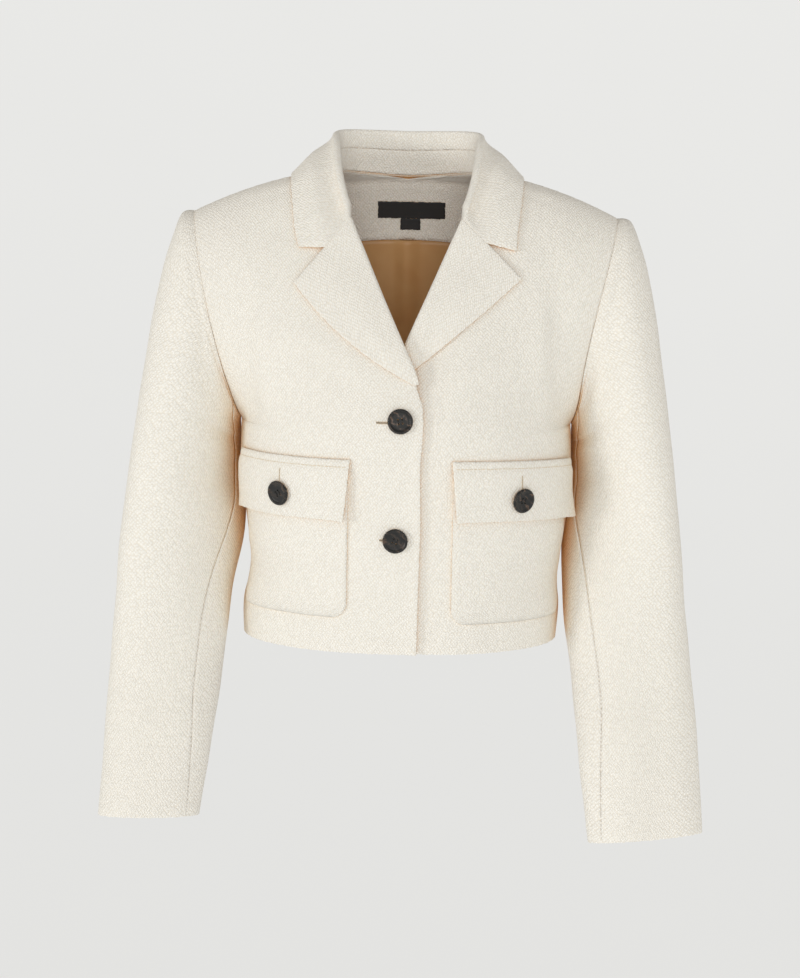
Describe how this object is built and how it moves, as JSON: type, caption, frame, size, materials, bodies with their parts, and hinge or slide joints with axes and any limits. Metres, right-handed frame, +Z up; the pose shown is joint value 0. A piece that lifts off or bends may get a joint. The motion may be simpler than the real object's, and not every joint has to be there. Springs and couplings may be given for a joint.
{
  "type": "cropped tweed jacket",
  "caption": "Cropped boxy jacket in pebbly cream tweed with a notched collar, long sleeves, flapped patch pockets and dark horn buttons, filled out with no wearer.",
  "frame": {"origin": "midway between the two shoulders at the height of the neck's base, where the wearer's shoulders hold the jacket up", "axes": "+X towards the wearer's left, -Y the front, +Z up"},
  "size_m": [0.5951, 0.2364, 0.6906],
  "materials": {
    "tweed": "pebbly woven wool mix, matt",
    "satin": "smooth satin lining, soft sheen",
    "label_cloth": "fine woven tape, matt",
    "horn": "polished dark horn-look resin"
  },
  "bodies": {
    "root": {"front_right": "tweed", "front_left": "tweed", "back": "tweed", "top_sleeve_right": "tweed", "top_sleeve_left": "tweed", "under_sleeve_right": "tweed", "under_sleeve_left": "tweed", "collar_fall": "tweed", "collar_stand": "tweed", "lapel_right": "tweed", "lapel_left": "tweed", "back_neck_facing": "tweed", "back_lining": "satin", "label": "label_cloth", "size_tab": "label_cloth", "pocket_right": "tweed", "pocket_left": "tweed", "flap_right": "tweed", "flap_left": "tweed", "button_front_top": "horn", "button_front_low": "horn", "button_pocket_right": "horn", "button_pocket_left": "horn"}
  },
  "joints": []
}
